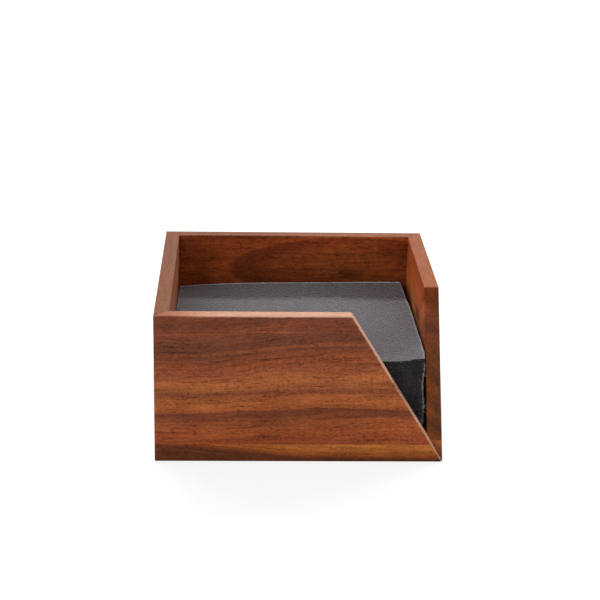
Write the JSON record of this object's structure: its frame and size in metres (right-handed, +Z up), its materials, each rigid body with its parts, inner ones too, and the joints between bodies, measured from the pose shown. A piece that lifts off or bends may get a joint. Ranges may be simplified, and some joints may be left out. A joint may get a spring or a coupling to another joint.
{
  "type": "napkin holder",
  "caption": "Open-topped square wooden box with one front corner cut away on a slant, holding a stack of paper napkins folded in four.",
  "frame": {"origin": "under the middle of the box, on the surface it stands on", "axes": "+Z up, the front of the box towards -Y, +X to the right seen from the front"},
  "size_m": [0.1906, 0.1906, 0.1016],
  "materials": {
    "oiled_wood": "satin",
    "spline_wood": "matte",
    "napkin_paper": "matte"
  },
  "bodies": {
    "box": {"front_wall_board": "oiled_wood", "front_wall_stave": "oiled_wood", "right_wall_board": "oiled_wood", "right_wall_stave": "oiled_wood", "back_wall_board": "oiled_wood", "back_wall_stave": "oiled_wood", "left_wall_board": "oiled_wood", "left_wall_stave": "oiled_wood", "floor_stave_front": "oiled_wood", "floor_stave_middle": "oiled_wood", "floor_stave_back": "oiled_wood", "spline_front_left": "spline_wood", "spline_back_left": "spline_wood", "spline_back_right": "spline_wood"},
    "napkins": {"napkin_stack": "napkin_paper"},
    "next_napkin": {"top_napkin": "napkin_paper"}
  },
  "joints": [
    {"name": "stack_lift", "type": "slide", "parent": "box", "child": "napkins", "axis": [0, 0, 1], "range_m": [0, 0.12]},
    {"name": "top_napkin_lift", "type": "slide", "parent": "napkins", "child": "next_napkin", "axis": [0, 0, 1], "range_m": [0, 0.06]}
  ]
}
